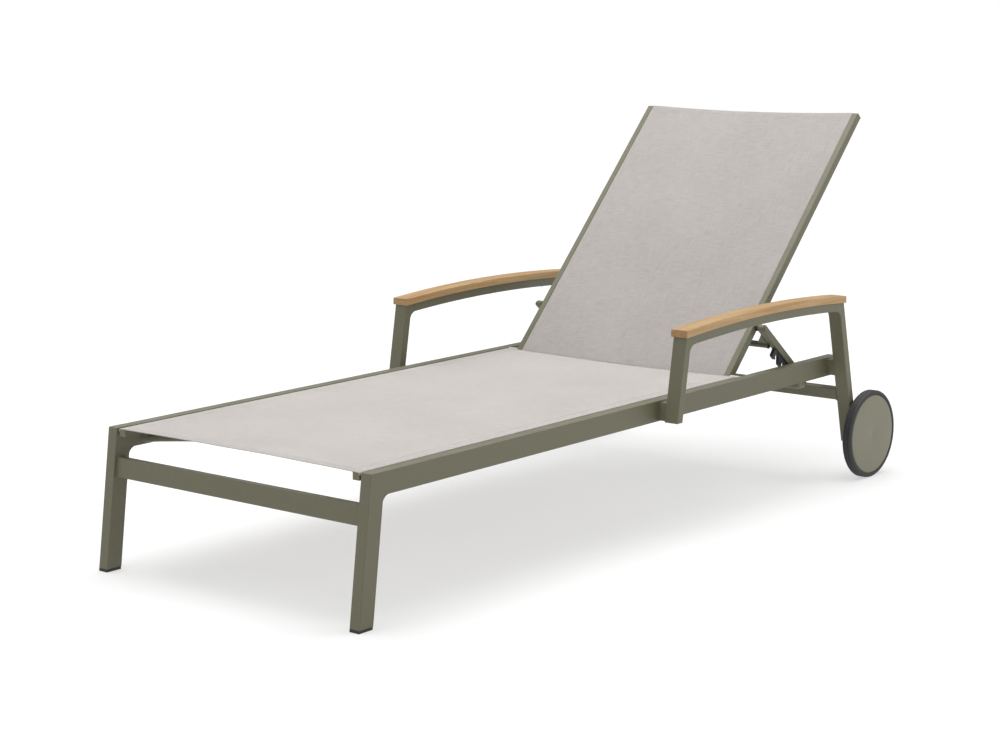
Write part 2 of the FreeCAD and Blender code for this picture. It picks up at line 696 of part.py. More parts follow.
def teak_cap():
    x0 = POST_X - TEAK_OVER
    x1 = ARM_END_X + TEAK_OVER
    low_r = ARM_R
    high_r = ARM_R + TEAK_THICK
    outline = face_xz(on_arc(x0, low_r), on_arc(x0, high_r), arc_between(x0, x1, high_r),
                      on_arc(x1, low_r), arc_between(x1, x0, low_r))
    over = (TEAK_WIDTH - ARM_WIDTH) / 2
    cap = slab(outline, ARM_IN - over, ARM_OUT + over)
    edges = [e for e in cap.Edges if e.BoundBox.ZMin > ARM_TOP + TEAK_THICK / 2]
    cap = cap.makeFillet(TEAK_EDGE, edges)
    return cut(cap, *[screw_hole(share) for share in TEAK_SCREWS])


def rear_cross_rail():
    """Tube between the rear legs, flush with their leaning front faces."""
    inner = ARM_REAR - V(REAR_DIR.z, 0, -REAR_DIR.x) * ARM_DEPTH
    front = at_height(inner, REAR_DIR, REAR_RAIL_LOW)
    back = front + V(REAR_DIR.z, 0, -REAR_DIR.x) * ARM_DEPTH
    up = REAR_DIR * REAR_RAIL_HEIGHT
    outline = face_xz(front, front + up, back + up, back)
    return cut(softened(slab(outline, -ARM_IN, ARM_IN), 2 * REAR_RAIL_HEIGHT),
               slab(outline.makeOffset2D(-WALL), -ARM_IN - 1, ARM_IN + 1))


# ---- backrest (made flat, hinge pin at the origin) -------------------------------------
def backrest_rail():
    half = BACK_RAIL_DEPTH / 2
    body = softened(block((-BACK_TAIL, BACK_LENGTH), (BACK_IN, BACK_HALF), (-half, half)),
                    2 * BACK_RAIL_WIDTH)
    length = (-BACK_TAIL - 1, BACK_LENGTH + 1)
    rebate = block(length, (BACK_IN - 1, BACK_STEP), (half - REBATE, half + 1))
    chamber = block(length, (BACK_IN + WALL, BACK_STEP - WALL),
                    (-half + WALL, half - REBATE - WALL))
    bore = rod(V(length[0], BACK_KEDER_Y, BACK_KEDER_Z),
               V(length[1], BACK_KEDER_Y, BACK_KEDER_Z), KEDER_BORE / 2)
    hinge = along_y(0, 0, BACK_IN - 1, BACK_HALF + 1, HINGE_BOLT / 2 + SHAFT_GAP)
    pivot = along_y(PIVOT_UP, -PIVOT_BACK, BACK_HALF - PIVOT_DEEP, BACK_HALF + 1,
                    PIVOT_BOLT / 2 + HOLE_GAP)
    return cut(body, rebate, chamber, bore, hinge, pivot)


def backrest_keder():
    return rod(V(BACK_KEDER_START, BACK_KEDER_Y, BACK_KEDER_Z),
               V(BACK_LENGTH - KEDER_SHORT, BACK_KEDER_Y, BACK_KEDER_Z), KEDER / 2)


def backrest_cap(x0, x1, plug_x):
    """End cap: a lip over the rail's end and a plug in its chamber."""
    half = BACK_RAIL_DEPTH / 2
    gap = WALL + SEAT
    plug = block(plug_x, (BACK_IN + gap, BACK_STEP - gap),
                 (-half + gap, half - REBATE - gap))
    return fuse(block((x0, x1), (BACK_IN, BACK_HALF), (-half, half - REBATE)), plug)


def backrest_sling():
    half = BACK_STEP - SLIP
    low = -SLING_TAIL
    high = BACK_LENGTH + CAP_LIP - SLIP
    z = BACK_RAIL_DEPTH / 2 - REBATE + SEAT
    return sling(high, low, half, z, BACK_HOLLOW)


def backrest_bar(x):
    """Flat tube across the backrest, low enough to stay off the sling."""
    low = -BACK_RAIL_DEPTH / 2
    body = block((x - BACK_BAR_HEIGHT / 2, x + BACK_BAR_HEIGHT / 2), (-BACK_IN, BACK_IN),
                 (low, low + BACK_BAR_DEPTH))
    body = softened(body, 2 * BACK_BAR_HEIGHT)
    hollow = block((x - BACK_BAR_HEIGHT / 2 + WALL, x + BACK_BAR_HEIGHT / 2 - WALL),
                   (-BACK_IN - 1, BACK_IN + 1), (low + WALL, low + BACK_BAR_DEPTH - WALL))
    return body.cut(hollow)


def hinge_bolt():
    """Fixed bolt: head inside the backrest rail, thread in the side rail's wall."""
    inner = BACK_IN - SLIP
    tip = RAIL_IN + WALL + HINGE_NUT_THICK + HINGE_TIP
    shank = along_y(HINGE_X, HINGE_Z, inner, tip, HINGE_BOLT / 2)
    head = along_y(HINGE_X, HINGE_Z, inner - HINGE_HEAD_THICK, inner, HINGE_HEAD / 2)
    return fuse(shank, head)


def hinge_bush():
    start = V(HINGE_X, BACK_HALF + SLIP, HINGE_Z)
    return ring(start, V(HINGE_X, RAIL_IN, HINGE_Z), HINGE_BUSH / 2, HINGE_BOLT / 2 + HOLE_GAP)


def hinge_nut():
    start = V(HINGE_X, RAIL_IN + WALL, HINGE_Z)
    return ring(start, start + V(0, HINGE_NUT_THICK, 0), HINGE_NUT / 2,
                HINGE_BOLT / 2 + HOLE_GAP)


def bail_pivot():
    """Bolt fixed in the backrest rail's solid strip; the bail arm turns on it."""
    head = BAIL_OUT + SLIP
    shank = along_y(PIVOT_UP, -PIVOT_BACK, BACK_HALF - PIVOT_DEEP + HOLE_END, head,
                    PIVOT_BOLT / 2)
    return fuse(shank, along_y(PIVOT_UP, -PIVOT_BACK, head, head + PIVOT_HEAD_THICK,
                               PIVOT_HEAD / 2))


def bail_washer():
    start = V(PIVOT_UP, BACK_HALF, -PIVOT_BACK)
    return ring(start, V(PIVOT_UP, BAIL_IN - SLIP, -PIVOT_BACK), PIVOT_WASHER / 2,
                PIVOT_BOLT / 2 + HOLE_GAP)


# ---- bail (made level, pivot at the origin, +X down the arm) ----------------------------
def bail_arm():
    half = BAIL_ARM / 2
    end = BAIL_LENGTH - BAIL_BEND
    outline = face_xz(V(0, 0, half), V(end, 0, half), V(end, 0, -half), V(0, 0, -half),
                      (V(-half, 0, 0), V(0, 0, half)))
    body = softened(slab(outline, BAIL_IN, BAIL_OUT), 3 * BAIL_ARM)
    inner = block((half + WALL, end + 1), (BAIL_IN + WALL, BAIL_OUT - WALL),
                  (-half + WALL, half - WALL))
    body = cut(body, inner, along_y(0, 0, BAIL_IN - 1, BAIL_OUT + 1, PIVOT_BOLT / 2 + SHAFT_GAP))
    for x in RACK_SCREWS:
        body = body.cut(rod(V(x, BAIL_MID, half + 1), V(x, BAIL_MID, -half - 1),
                            RACK_SCREW / 2 + HOLE_GAP))
    return body


def bail_upper_bar():
    """Round tube between the arms, with a gusset plate in each upper corner."""
    low = -UPPER_BAR_DROP - GUSSET_THICK / 2
    corners = [V(UPPER_BAR_AT, BAIL_IN, low), V(UPPER_BAR_AT - GUSSET_RUN, BAIL_IN, low),
               V(UPPER_BAR_AT, BAIL_IN - GUSSET_REACH, low)]
    plate = Part.Face(Part.makePolygon(corners + corners[:1])).extrude(V(0, 0, GUSSET_THICK))
    plate = plate.cut(along_y(UPPER_BAR_AT, -UPPER_BAR_DROP, 0, BAIL_IN, UPPER_BAR / 2))
    return fuse(cross_tube(UPPER_BAR_AT, -UPPER_BAR_DROP, BAIL_IN, UPPER_BAR),
                *both_sides([plate]))


def bail_lower_bar():
    """Round tube across the arms' ends, with a bend at each corner."""
    start = BAIL_LENGTH - BAIL_BEND
    inner = BAIL_MID - BAIL_BEND
    lean = BAIL_BEND * math.sqrt(0.5)
    path = []
    for side in (1, -1):
        centre = V(start, side * inner, 0)
        path.append(Part.Arc(V(start, side * BAIL_MID, 0), centre + V(lean, side * lean, 0),
                             V(BAIL_LENGTH, side * inner, 0)).toShape())
    path.insert(1, Part.makeLine(V(BAIL_LENGTH, inner, 0), V(BAIL_LENGTH, -inner, 0)))
    wire = Part.Wire(path)
    profile = [Part.Wire(Part.makeCircle(r, V(start, BAIL_MID, 0), V(1, 0, 0)))
               for r in (BAIL_ARM / 2, BAIL_ARM / 2 - WALL)]
    outer, inside = [wire.makePipeShell([p], True, True) for p in profile]
    return outer.cut(inside)


def bail_rack():
    """Notched plastic rack under a bail arm; its notches open straight down at rest."""
    top = -BAIL_ARM / 2
    low = top - RACK_DEPTH
    outline = face_xz(V(RACK_START, 0, top), V(RACK_END, 0, top), V(RACK_END, 0, top - RACK_CHAMFER),
                      V(RACK_END - RACK_CHAMFER, 0, low), V(RACK_START + RACK_EASE, 0, low),
                      V(RACK_START, 0, low + RACK_EASE))
    body = slab(outline, BAIL_MID - RACK_WIDTH / 2, BAIL_MID + RACK_WIDTH / 2)
    down = V(math.sin(math.radians(BAIL_SLOPE)), 0, -math.cos(math.radians(BAIL_SLOPE)))
    radius = CATCH_PIN / 2 + NOTCH_PLAY
    for number in range(RACK_NOTCHES):
        seat = V(LAST_NOTCH - number * NOTCH_PITCH, 0, top - NOTCH_OVER - radius)
        body = body.cut(along_y(seat.x, seat.z, BAIL_IN, BAIL_OUT, radius))
        across = V(-down.z, 0, down.x) * radius
        far = down * (RACK_DEPTH * 2)
        slot = face_xz(seat - across, seat + across, seat + across + far, seat - across + far)
        body = body.cut(slab(slot, BAIL_IN, BAIL_OUT))
    for x in RACK_SCREWS:
        deep = top - RACK_SCREW_DEEP - HOLE_END
        body = body.cut(rod(V(x, BAIL_MID, top + 1), V(x, BAIL_MID, deep),
                            RACK_SCREW / 2 + HOLE_GAP))
    return body


def rack_screws():
    made = []
    for x in RACK_SCREWS:
        top = V(x, BAIL_MID, BAIL_ARM / 2)
        cap = top + V(0, 0, RACK_HEAD_THICK)
        shank = rod(cap, top - V(0, 0, BAIL_ARM + RACK_SCREW_DEEP), RACK_SCREW / 2)
        made.append(hung(fuse(shank, rod(top, cap, RACK_HEAD / 2))))
    return both_sides(made)


# ---- wheels --------------------------------------------------------------------------
def wheel_disc_at(low, high, radius, bore=0.0):
    made = along_y(WHEEL_X, WHEEL_Z, low, high, radius)
    return made.cut(along_y(WHEEL_X, WHEEL_Z, low - 1, high + 1, bore)) if bore else made


def wheel_tyre():
    tyre = wheel_disc_at(TYRE_IN, TYRE_OUT, WHEEL_R, RIM_R + SEAT)
    edges = [e for e in tyre.Edges if e.BoundBox.ZLength > 2 * WHEEL_R - 1]
    return tyre.makeFillet(TYRE_SHOULDER, edges)


def wheel_core():
    """Moulded centre: hub, web and rim."""
    hub = wheel_disc_at(HUB_IN, HUB_OUT, HUB_R)
    web = wheel_disc_at(TYRE_IN + WEB_AT, TYRE_IN + WEB_AT + WEB_THICK, RIM_R - RIM_THICK / 2)
    rim = wheel_disc_at(TYRE_IN + RIM_INSET, TYRE_OUT - DISC_THICK, RIM_R, RIM_R - RIM_THICK)
    return fuse(hub, web, rim).cut(wheel_disc_at(HUB_IN - 1, HUB_OUT + 1, BUSH_R + HOLE_GAP))


def wheel_bush():
    return wheel_disc_at(HUB_IN, HUB_OUT, BUSH_R, BUSH_R - BUSH_WALL)


def wheel_disc():
    """Painted cover: a face disc and a ring that presses into the rim."""
    back = TYRE_OUT - DISC_THICK
    clip_r = RIM_R - RIM_THICK - SLIP
    face = wheel_disc_at(back, TYRE_OUT, RIM_R - DISC_INSET)
    clip = wheel_disc_at(back - CLIP_DEPTH, back, clip_r, clip_r - CLIP_WALL)
    return fuse(face, clip)


def wheel_axle():
    """Stub axle fixed through the lug, with a collar outside and a head inside."""
    inner = ARM_IN + LUG_INSET
    start = inner - AXLE_HEAD_THICK
    shaft = along_y(WHEEL_X, WHEEL_Z, start, HUB_OUT + AXLE_TIP, AXLE / 2)
    head = along_y(WHEEL_X, WHEEL_Z, start, inner, AXLE_HEAD / 2)
    collar = along_y(WHEEL_X, WHEEL_Z, ARM_OUT, HUB_IN - SLIP, AXLE_HEAD / 2)
    return fuse(shaft, head, collar)


def axle_ring():
    low = V(WHEEL_X, HUB_OUT + SLIP, WHEEL_Z)
    return ring(low, low + V(0, AXLE_RING_THICK, 0), AXLE_RING / 2, AXLE / 2 + HOLE_GAP)


# ---- build -----------------------------------------------------------------------------
def build_seat_frame():
    save_pair("side_rail", side_rail())
    save_pair("front_leg", front_leg())
    save("leg_glides", both_sides([leg_glide()]))
    save("rail_end_caps", both_sides([rail_end_cap()]))
    save_pair("seat_track", seat_track())
    save("front_cross_rail", front_cross_rail())
    save("foot_bow", foot_bow())
    save("seat_middle_bar", cross_tube(MIDDLE_BAR_X, BAR_Z, RAIL_IN, BAR))
    save("hinge_bar", cross_tube(HINGE_X - HINGE_BAR_SETBACK, BAR_Z, RAIL_IN, BAR))
    save("catch_pins", both_sides([catch_pin()]))
    save("flat_stops", both_sides([flat_stop()]))
    save("seat_keder_rods", both_sides([seat_keder()]))
    save("track_screws", track_screws())
    save("track_washers", track_washers())
    save("seat_sling", seat_sling())


def build_arms():
    save_pair("arm_front_post", front_post())
    save_pair("arm_bar", arm_bar())
    save_pair("rear_leg", rear_leg())
    save("axle_lugs", both_sides([axle_lug()]))
    save_pair("teak_cap", teak_cap())
    save("arm_spacers", arm_spacers())
    save("arm_bolts", arm_bolts())
    save("teak_screws", both_sides([teak_screw(share) for share in TEAK_SCREWS]))
    save("rear_cross_rail", rear_cross_rail())


def build_backrest():
    save_pair("backrest_rail", raised(backrest_rail()))
    for name, x in BACK_BARS.items():
        save("backrest_" + name + "_bar", raised(backrest_bar(x)))
    caps = [backrest_cap(BACK_LENGTH, BACK_LENGTH + CAP_LIP, (BACK_LENGTH - CAP_PLUG, BACK_LENGTH)),
            backrest_cap(-BACK_TAIL - CAP_LIP, -BACK_TAIL, (-BACK_TAIL, -BACK_TAIL + CAP_TAIL_PLUG))]
    save("backrest_caps", both_sides([raised(cap) for cap in caps]))
    save("backrest_keder_rods", both_sides([raised(backrest_keder())]))
    save("backrest_sling", raised(backrest_sling()))
    save("hinge_bolts", both_sides([hinge_bolt()]))
    save("hinge_bushes", both_sides([hinge_bush()]))
    save("hinge_nuts", both_sides([hinge_nut()]))
    save("bail_pivot_bolts", both_sides([raised(bail_pivot())]))
    save("bail_washers", both_sides([raised(bail_washer())]))


def build_bail():
    save_pair("bail_arm", hung(bail_arm()))
    save("bail_racks", both_sides([hung(bail_rack())]))
    save("bail_upper_bar", hung(bail_upper_bar()))
    save("bail_lower_bar", hung(bail_lower_bar()))
    save("rack_screws", rack_screws())


def build_wheels():
    for name, shape in (("tyre", wheel_tyre()), ("core", wheel_core()), ("bush", wheel_bush()),
                        ("disc", wheel_disc())):
        save_pair("wheel_" + name, shape)
    save("wheel_axles", both_sides([wheel_axle()]))
    save("axle_rings", both_sides([axle_ring()]))


os.makedirs("parts", exist_ok=True)
build_seat_frame()
build_arms()
build_backrest()
build_bail()
build_wheels()
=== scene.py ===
"""Looks of the reclining sun lounger: powder-coated tubes, woven slings, teak arm caps, wheels."""
import json
import math

import bmesh
import bpy
from mathutils import Matrix, Vector, noise


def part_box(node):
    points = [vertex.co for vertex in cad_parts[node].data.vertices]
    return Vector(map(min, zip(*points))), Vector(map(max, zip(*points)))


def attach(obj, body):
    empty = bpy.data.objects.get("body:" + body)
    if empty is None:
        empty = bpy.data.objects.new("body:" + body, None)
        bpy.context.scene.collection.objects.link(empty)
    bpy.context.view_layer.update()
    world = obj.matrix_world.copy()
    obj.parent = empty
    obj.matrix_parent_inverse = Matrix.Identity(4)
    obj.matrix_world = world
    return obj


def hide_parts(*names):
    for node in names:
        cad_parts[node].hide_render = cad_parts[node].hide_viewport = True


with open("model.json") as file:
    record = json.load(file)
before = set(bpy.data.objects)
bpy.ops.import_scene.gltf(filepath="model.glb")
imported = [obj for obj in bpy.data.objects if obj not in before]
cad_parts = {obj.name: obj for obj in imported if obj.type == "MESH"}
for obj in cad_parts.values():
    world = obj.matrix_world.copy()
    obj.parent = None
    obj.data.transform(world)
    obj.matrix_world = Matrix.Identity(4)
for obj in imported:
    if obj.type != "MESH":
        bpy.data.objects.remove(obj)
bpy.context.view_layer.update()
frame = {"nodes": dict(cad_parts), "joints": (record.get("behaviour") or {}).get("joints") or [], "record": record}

# ---- sizes, in metres and radians ------------------------------------------------------
MM = 0.001
JOINTS = {joint["name"]: joint for joint in frame["joints"]}
RECLINE = math.radians(-JOINTS["backrest_recline"]["range_deg"][0])
BAIL_SLOPE = math.radians(39.8)      # below level, with the backrest up
LEG_LEAN = math.radians(7.9)
REAR_LEAN = math.radians(12.3)

CLOTH = 0.9 * MM                     # woven sling cloth
HEM = 22 * MM                        # turned under at a free end
HEM_FOLD = 1.0 * MM                  # radius of the hem's fold
EDGE_ROLL = 1.2 * MM                 # where the cloth turns down beside its track
EDGE_TUCK = 3.0 * MM
SEAT_HOLLOW = 25 * MM                # a free end curves in by this much
BACK_HOLLOW = 4.5 * MM
SEAT_SAG = 4.0 * MM
BACK_SAG = 3.5 * MM
END_SAG = 0.15                       # share more sag at a free end, fading over END_RUN
END_RUN = 0.12
RIPPLE = 0.9 * MM                    # slow unevenness of the cloth
RIPPLE_SCALE = Vector((3.1, 9.0, 1.0))       # per metre along and across
SIDE_SEAM = 26 * MM                  # stitching in from the cloth's side edges
HEM_SEAM = 13 * MM                   # stitching in from a free end
STITCH = 3.2 * MM
STITCH_PITCH = 4.4 * MM
THREAD = 0.45 * MM                   # radius of the sewing thread
WEAVE_PITCH = 1.5 * MM

WELD = 1.7 * MM                      # radius of a weld bead
WELD_RIPPLE = 1.15                   # ripples apart, in bead radii
WELD_SINK = 1 / 3                    # of a bead's radius, from the bar's end

TYRE_GROOVE = 1.6 * MM
TYRE_SHOULDER = 3.5 * MM             # tread edge in from the sidewall
SHOULDER_DROP = 2.2 * MM
WALL_HEIGHT = 6 * MM                 # sidewall's flat starts this far below the tread
RIM_LIP = 1.4 * MM
DISC_GAP = 0.6 * MM                  # between the painted disc and the tyre
DISC_THICK = 2.4 * MM
DISC_SKIRT = 5 * MM
RIB_COUNT = 8
RIB_THICK = 3 * MM
RIB_DEEP = 5.5 * MM
RIB_INSET = 1.8 * MM                 # in from the tyre's inner face
HUB = 13 * MM                        # radius where the ribs start

PROFILE_EASE = 1.6 * MM              # rounding of the tyre's corners

ALONG_Y = Vector((0, 1, 0))
UPWARD = Vector((0, 0, 1))


def place_at(joint, tilt):
    """Axes at a joint, with x tilted up from level by an angle."""
    pin = Vector(JOINTS[joint]["pos_m"])
    return Matrix.Translation(pin) @ Matrix.Rotation(-tilt, 4, "Y")


LEVEL = Matrix.Identity(4)
BACKREST = place_at("backrest_recline", RECLINE)
BAIL = place_at("bail_swing", -BAIL_SLOPE)


def box_in(place, node):
    """Lowest and highest corner of a CAD node, measured along a place's own axes."""
    back = place.inverted()
    points = [back @ v.co for v in frame["nodes"][node].data.vertices]
    low = Vector([min(p[i] for p in points) for i in range(3)])
    high = Vector([max(p[i] for p in points) for i in range(3)])
    return low, high


# ---- making pieces ---------------------------------------------------------------------
def piece(name, bm, body, material, sharp=35):
    """A mesh from bm as a piece that rides on a body, smooth except at sharp edges."""
    mesh = bpy.data.meshes.new(name)
    bm.to_mesh(mesh)
    bm.free()
    mesh.materials.append(material)
    mesh.shade_smooth()
    mesh.set_sharp_from_angle(angle=math.radians(sharp))
    made = bpy.data.objects.new(name, mesh)
    bpy.context.scene.collection.objects.link(made)
    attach(made, body)
    return made


def spun(profile, centre, segments=128):
    """Solid of revolution about the Y axis through centre; profile is (radius, y) pairs."""
    bm = bmesh.new()
    corners = [bm.verts.new((radius, y, 0)) for radius, y in profile]
    edges = [bm.edges.new(pair) for pair in zip(corners, corners[1:] + corners[:1])]
    bmesh.ops.spin(bm, geom=corners + edges, cent=(0, 0, 0), axis=ALONG_Y, dvec=(0, 0, 0),
                   angle=math.tau, steps=segments, use_merge=True, use_duplicate=False)
    bmesh.ops.remove_doubles(bm, verts=bm.verts, dist=1e-6)
    bmesh.ops.translate(bm, verts=bm.verts, vec=centre)
    bmesh.ops.recalc_face_normals(bm, faces=bm.faces)
    return bm


def gathered(jobs, together=30):
    """One bmesh of many small shapes; each job is a function and what it takes after bm."""
    whole = bmesh.new()
    for first in range(0, len(jobs), together):
        few = bmesh.new()
        for add, *given in jobs[first:first + together]:
            add(few, *given)
        mesh = bpy.data.meshes.new("few")
        few.to_mesh(mesh)
        few.free()
        whole.from_mesh(mesh)
        bpy.data.meshes.remove(mesh)
    return whole


def rounded(profile, radius, steps=4):
    """The profile's corners eased by an arc; each corner is (radius from the axis, y)."""
    eased = []
    count = len(profile)
    for i, corner in enumerate(profile):
        here = Vector(corner)
        before = Vector(profile[i - 1]) - here
        after = Vector(profile[(i + 1) % count]) - here
        reach = min(radius, before.length / 2.2, after.length / 2.2)
        start = here + before.normalized() * reach
        end = here + after.normalized() * reach
        for k in range(steps + 1):
            t = k / steps
            eased.append(tuple(start.lerp(here, t).lerp(here.lerp(end, t), t)))
    return eased


# ---- node building ---------------------------------------------------------------------
def put(tree, kind, inputs=None, **settings):
    """A node with its settings, and each input given a value or a socket to read."""
    made = tree.nodes.new(kind)
    for name, value in settings.items():
        setattr(made, name, value)
    for name, value in (inputs or {}).items():
        if isinstance(value, bpy.types.NodeSocket):
            tree.links.new(value, made.inputs[name])
        else:
            made.inputs[name].default_value = value
    return made


def sums(tree, operation, a, b=0.5, clamp=False):
    made = put(tree, "ShaderNodeMath", {0: a, 1: b}, operation=operation, use_clamp=clamp)
    return made.outputs[0]


def blend_colour(tree, amount, a, b, mode="MIX"):
    made = put(tree, "ShaderNodeMix", {0: amount, 6: a, 7: b}, data_type="RGBA", blend_type=mode)
    return made.outputs[2]


def spread(tree, value, low, high, to_low=0.0, to_high=1.0):
    """Value stretched from low..high to to_low..to_high, held at its ends."""
    made = put(tree, "ShaderNodeMapRange", {0: value, 1: low, 2: high, 3: to_low, 4: to_high})
    return made.outputs[0]


def clouds(tree, where, scale, detail=3.0, roughness=0.5):
    made = put(tree, "ShaderNodeTexNoise", {"Vector": where, "Scale": scale, "Detail": detail,
                                            "Roughness": roughness})
    return made.outputs["Fac"]


def stretched(tree, where, scale, turn=(0, 0, 0)):
    made = put(tree, "ShaderNodeMapping", {"Vector": where, "Scale": scale, "Rotation": turn})
    return made.outputs["Vector"]


def bumps(tree, height, strength, distance):
    made = put(tree, "ShaderNodeBump", {"Height": height, "Strength": strength,
                                        "Distance": distance})
    return made.outputs["Normal"]


def object_place(tree):
    return put(tree, "ShaderNodeTexCoord").outputs["Object"]


def srgb(red, green, blue):
    """Linear colour of an sRGB one given in 0..255."""
    def linear(value):
        value = value / 255
        return value / 12.92 if value <= 0.04045 else ((value + 0.055) / 1.055) ** 2.4
    return (linear(red), linear(green), linear(blue), 1.0)


def group(name, inputs, outputs):
    """A new node group; inputs and outputs are (name, kind, value) and (name, kind)."""
    tree = bpy.data.node_groups.new(name, "ShaderNodeTree")
    for label, kind, value in inputs:
        socket = tree.interface.new_socket(label, in_out="INPUT", socket_type=kind)
        if value is not None:
            socket.default_value = value
    for label, kind in outputs:
        tree.interface.new_socket(label, in_out="OUTPUT", socket_type=kind)
    return tree, tree.nodes.new("NodeGroupInput"), tree.nodes.new("NodeGroupOutput")


def use(tree, shared, inputs):
    made = put(tree, "ShaderNodeGroup", node_tree=shared)
    for name, value in inputs.items():
        if isinstance(value, bpy.types.NodeSocket):
            tree.links.new(value, made.inputs[name])
        else:
            made.inputs[name].default_value = value
    return made


FLOAT = "NodeSocketFloat"
VECTOR = "NodeSocketVector"


def cast_relief():
    """Fine grain over slow waves, as in powder coat, moulded plastic and rubber."""
    tree, given, out = group("cast_relief", [("Grain per m", FLOAT, 1500.0),
                                             ("Wave per m", FLOAT, 220.0),
                                             ("Wave share", FLOAT, 0.5)],
                             [("Height", FLOAT), ("Tone", FLOAT)])
    where = object_place(tree)
    grain = clouds(tree, where, given.outputs["Grain per m"], 2.0)
    wave = clouds(tree, where, given.outputs["Wave per m"], 1.0)
    share = sums(tree, "MULTIPLY", wave, given.outputs["Wave share"])
    tree.links.new(sums(tree, "ADD", grain, share), out.inputs["Height"])
    tree.links.new(clouds(tree, where, 9.0, 4.0, 0.6), out.inputs["Tone"])
    return tree


def settled_dust():
    """Mask of the fine dust on faces that look up, thinner where it has been wiped."""
    tree, given, out = group("settled_dust", [("Amount", FLOAT, 0.2)], [("Dust", FLOAT)])
    normal = put(tree, "ShaderNodeNewGeometry").outputs["Normal"]
    upright = put(tree, "ShaderNodeSeparateXYZ", {0: normal}).outputs["Z"]
    facing = spread(tree, upright, 0.2, 1.0)
    patches = spread(tree, clouds(tree, object_place(tree), 14.0, 5.0, 0.65), 0.3, 0.75)
    dust = sums(tree, "MULTIPLY", facing, patches)
    tree.links.new(sums(tree, "MULTIPLY", dust, given.outputs["Amount"]), out.inputs["Dust"])
    return tree


def plain_weave():
    """One thread over, one under, of coated yarns, on a map that is in metres."""
    tree, given, out = group("plain_weave", [("Place", VECTOR, None),
                                             ("Threads per m", FLOAT, 700.0)],
                             [("Height", FLOAT), ("Gap", FLOAT), ("Thread tone", FLOAT)])
    counted = put(tree, "ShaderNodeVectorMath", {0: given.outputs["Place"]}, operation="SCALE")
    tree.links.new(given.outputs["Threads per m"], counted.inputs["Scale"])
    parts = put(tree, "ShaderNodeSeparateXYZ", {0: counted.outputs[0]})
    across = crown(tree, parts.outputs["X"])
    along = crown(tree, parts.outputs["Y"])
    parity = put(tree, "ShaderNodeTexChecker", {"Vector": counted.outputs[0], "Scale": 1.0,
                                                "Color1": (1, 1, 1, 1), "Color2": (0, 0, 0, 1)})
    over = parity.outputs["Fac"]
    warp = sums(tree, "MULTIPLY", across, spread(tree, along, 0.0, 1.0, 0.35, 1.0))
    weft = sums(tree, "MULTIPLY", along, spread(tree, across, 0.0, 1.0, 0.35, 1.0))
    height = put(tree, "ShaderNodeMix", {0: over, 2: warp, 3: weft}, data_type="FLOAT")
    widest = sums(tree, "MAXIMUM", across, along)
    tree.links.new(height.outputs[0], out.inputs["Height"])
    tree.links.new(spread(tree, widest, 0.42, 0.24), out.inputs["Gap"])
    warp_tone = clouds(tree, stretched(tree, given.outputs["Place"], (640, 26, 1)), 1.0, 1.0)
    weft_tone = clouds(tree, stretched(tree, given.outputs["Place"], (26, 640, 1)), 1.0, 1.0)
    tone = put(tree, "ShaderNodeMix", {0: over, 2: warp_tone, 3: weft_tone}, data_type="FLOAT")
    tree.links.new(tone.outputs[0], out.inputs["Thread tone"])
    return tree


def crown(tree, count):
    """Round back of each thread: 0 between two threads, 1 along a thread's middle."""
    return sums(tree, "ABSOLUTE", sums(tree, "SINE", sums(tree, "MULTIPLY", count, math.pi)))


def timber_grain():
    """Growth bands, fine fibres and pores along X, and rings on the sawn ends."""
    tree, given, out = group("timber_grain", [("Bands per m", FLOAT, 70.0)],
                             [("Bands", FLOAT), ("Fibres", FLOAT), ("Pores", FLOAT),
                              ("End", FLOAT)])
    where = object_place(tree)
    wander = clouds(tree, stretched(tree, where, (2.2, 9.0, 9.0)), 1.0, 3.0)
    sweep = put(tree, "ShaderNodeVectorMath", {0: (0.0, 0.035, 0.02)}, operation="SCALE")
    tree.links.new(wander, sweep.inputs["Scale"])
    bent = put(tree, "ShaderNodeVectorMath", {0: where, 1: sweep.outputs[0]}, operation="ADD")
    slow = stretched(tree, bent.outputs[0], (0.05, 1.0, 1.6))
    bands = clouds(tree, slow, given.outputs["Bands per m"], 4.0, 0.55)
    fibres = clouds(tree, stretched(tree, where, (14.0, 900.0, 900.0)), 1.0, 2.0)
    pores = clouds(tree, stretched(tree, where, (60.0, 1500.0, 1500.0)), 1.0, 1.0)
    normal = put(tree, "ShaderNodeNewGeometry").outputs["Normal"]
    facing = put(tree, "ShaderNodeSeparateXYZ", {0: normal}).outputs["X"]
    tree.links.new(spread(tree, bands, 0.3, 0.7), out.inputs["Bands"])
    tree.links.new(fibres, out.inputs["Fibres"])
    tree.links.new(spread(tree, pores, 0.62, 0.7), out.inputs["Pores"])
    tree.links.new(spread(tree, sums(tree, "ABSOLUTE", facing), 0.75, 0.95), out.inputs["End"])
    return tree


RELIEF = cast_relief()
DUST = settled_dust()
WEAVE = plain_weave()
GRAIN = timber_grain()


# ---- finishes --------------------------------------------------------------------------
def finish(name):
    material = bpy.data.materials.new(name)
    material.use_nodes = True
    return material, material.node_tree, material.node_tree.nodes["Principled BSDF"]


